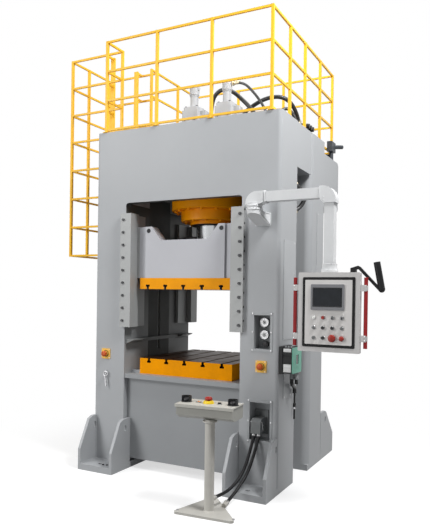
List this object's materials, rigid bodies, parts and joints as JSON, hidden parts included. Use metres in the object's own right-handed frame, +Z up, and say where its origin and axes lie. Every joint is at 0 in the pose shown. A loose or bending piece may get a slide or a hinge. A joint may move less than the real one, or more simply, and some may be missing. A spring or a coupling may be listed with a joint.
{
  "type": "hydraulic press",
  "caption": "Straight-sided hydraulic press with welded portals, guided slide, bolster with T-slots, railed crown, caged ladder, swinging operator panel and a two-hand stand.",
  "frame": {"origin": "on the floor at the centre of the four anchor holes in the feet", "axes": "+X to the operator's right, +Y from the operator towards the rear of the press, +Z up; the operator stands at -Y"},
  "size_m": [3.5545, 2.738, 4.338],
  "materials": {
    "frame_paint": "satin",
    "frame_paint_light": "satin",
    "safety_yellow": "gloss",
    "orange_yellow": "satin",
    "machined_steel": "machined",
    "bolt_steel": "dark",
    "chrome": "polished",
    "valve_iron": "painted grey",
    "pump_paint": "satin",
    "hose_rubber": "matte",
    "recess_paint": "satin",
    "gauge_case": "satin",
    "black_plastic": "matte",
    "hood_metal": "cast",
    "stop_yellow": "satin",
    "red_plastic": "gloss",
    "mint_green": "satin",
    "arm_grey": "satin",
    "panel_grey": "satin",
    "screen": "gloss",
    "lamp_lens": "gloss",
    "handle_red": "satin",
    "stand_paint": "satin",
    "green_plastic": "gloss"
  },
  "bodies": {
    "frame": {"front_portal": "frame_paint", "rear_portal": "frame_paint", "crown_box": "frame_paint", "side_webs": "frame_paint", "side_covers": "frame_paint_light", "bed_box": "frame_paint", "bolster": "orange_yellow", "gibs_front": "machined_steel", "gibs_rear": "machined_steel", "gib_bolts": "bolt_steel", "shelf_bracket": "frame_paint_light", "cylinder_barrel": "orange_yellow", "cylinder_flange": "orange_yellow", "gland_ring": "orange_yellow", "top_railing": "safety_yellow", "access_ladder": "safety_yellow", "oil_tank": "frame_paint", "prefill_valves": "valve_iron", "pump_unit": "pump_paint", "valve_manifold": "valve_iron", "crown_hoses": "hose_rubber", "gap_hose": "hose_rubber", "gauge_panel": "recess_paint", "pressure_gauges": "gauge_case", "socket_panel": "recess_paint", "connector_hood": "hood_metal", "estop_plates": "stop_yellow", "relay_unit": "mint_green", "wall_bracket": "arm_grey", "stand_base": "stand_paint", "stand_box": "stand_paint", "stand_lid": "stand_paint", "lead_front": "hose_rubber", "lead_rear": "hose_rubber"},
    "slide": {"slide_body": "frame_paint_light", "slide_plate": "orange_yellow", "ram": "chrome"},
    "regulator": {"regulator_knob": "black_plastic"},
    "stop_left": {"column_stop_left": "red_plastic"},
    "stop_right": {"column_stop_right": "red_plastic"},
    "arm": {"pendant_arm": "arm_grey"},
    "panel": {"panel_case": "panel_grey", "panel_door": "panel_grey", "panel_seal": "hose_rubber", "panel_screen": "screen", "panel_lamps": "lamp_lens", "panel_handles": "handle_red", "swing_handle": "handle_red"},
    "red_button": {"panel_red_button": "red_plastic"},
    "black_button_left": {"panel_black_button_left": "black_plastic"},
    "black_button_right": {"panel_black_button_right": "black_plastic"},
    "black_button_low": {"panel_black_button_low": "black_plastic"},
    "selector_left": {"panel_selector_left": "black_plastic"},
    "selector_right": {"panel_selector_right": "black_plastic"},
    "panel_emergency_stop": {"panel_stop": "red_plastic"},
    "panel_mushroom_button": {"panel_mushroom": "red_plastic"},
    "palm_left": {"palm_button_left": "black_plastic"},
    "palm_right": {"palm_button_right": "black_plastic"},
    "stand_emergency_stop": {"stand_stop": "red_plastic"},
    "stand_start_button": {"stand_button": "green_plastic"}
  },
  "joints": [
    {"name": "slide_stroke", "type": "slide", "parent": "frame", "child": "slide", "axis": [0, 0, 1], "range_m": [-0.5, 0.1]},
    {"name": "regulator_turn", "type": "hinge", "parent": "frame", "child": "regulator", "pos_m": [0.865, -0.56, 1.322], "axis": [0, 1, 0], "range_deg": [-720, 720]},
    {"name": "column_stop_left_press", "type": "slide", "parent": "frame", "child": "stop_left", "axis": [0, 1, 0], "range_m": [0, 0.006]},
    {"name": "column_stop_right_press", "type": "slide", "parent": "frame", "child": "stop_right", "axis": [0, 1, 0], "range_m": [0, 0.006]},
    {"name": "arm_swivel", "type": "hinge", "parent": "frame", "child": "arm", "pos_m": [0.85, -0.845, 2.5355], "axis": [0, 0, 1], "range_deg": [-100, 10]},
    {"name": "panel_swivel", "type": "hinge", "parent": "arm", "child": "panel", "pos_m": [1.516, -0.845, 1.9508], "axis": [0, 0, 1], "range_deg": [-45, 45]},
    {"name": "red_button_press", "type": "slide", "parent": "panel", "child": "red_button", "axis": [0, 1, 0], "range_m": [0, 0.0038], "stiffness_N_per_m": 1500, "springref_m": -0.002},
    {"name": "black_button_left_press", "type": "slide", "parent": "panel", "child": "black_button_left", "axis": [0, 1, 0], "range_m": [0, 0.0038], "stiffness_N_per_m": 1500, "springref_m": -0.002},
    {"name": "black_button_right_press", "type": "slide", "parent": "panel", "child": "black_button_right", "axis": [0, 1, 0], "range_m": [0, 0.0038], "stiffness_N_per_m": 1500, "springref_m": -0.002},
    {"name": "black_button_low_press", "type": "slide", "parent": "panel", "child": "black_button_low", "axis": [0, 1, 0], "range_m": [0, 0.0038], "stiffness_N_per_m": 1500, "springref_m": -0.002},
    {"name": "selector_left_turn", "type": "hinge", "parent": "panel", "child": "selector_left", "pos_m": [1.568, -0.93, 1.5905], "axis": [0, 1, 0], "range_deg": [-45, 45]},
    {"name": "selector_right_turn", "type": "hinge", "parent": "panel", "child": "selector_right", "pos_m": [1.644, -0.93, 1.5905], "axis": [0, 1, 0], "range_deg": [-45, 45]},
    {"name": "panel_stop_press", "type": "slide", "parent": "panel", "child": "panel_emergency_stop", "axis": [0, 1, 0], "range_m": [0, 0.0038]},
    {"name": "panel_mushroom_press", "type": "slide", "parent": "panel", "child": "panel_mushroom_button", "axis": [0, 1, 0], "range_m": [0, 0.0038], "stiffness_N_per_m": 1500, "springref_m": -0.002},
    {"name": "palm_left_press", "type": "slide", "parent": "frame", "child": "palm_left", "axis": [0, 0, -1], "range_m": [0, 0.006], "stiffness_N_per_m": 2500, "springref_m": -0.003},
    {"name": "palm_right_press", "type": "slide", "parent": "frame", "child": "palm_right", "axis": [0, 0, -1], "range_m": [0, 0.006], "stiffness_N_per_m": 2500, "springref_m": -0.003},
    {"name": "stand_stop_press", "type": "slide", "parent": "frame", "child": "stand_emergency_stop", "axis": [0, 0, -1], "range_m": [0, 0.006]},
    {"name": "stand_button_press", "type": "slide", "parent": "frame", "child": "stand_start_button", "axis": [0, 0, -1], "range_m": [0, 0.0038], "stiffness_N_per_m": 1500, "springref_m": -0.002}
  ]
}
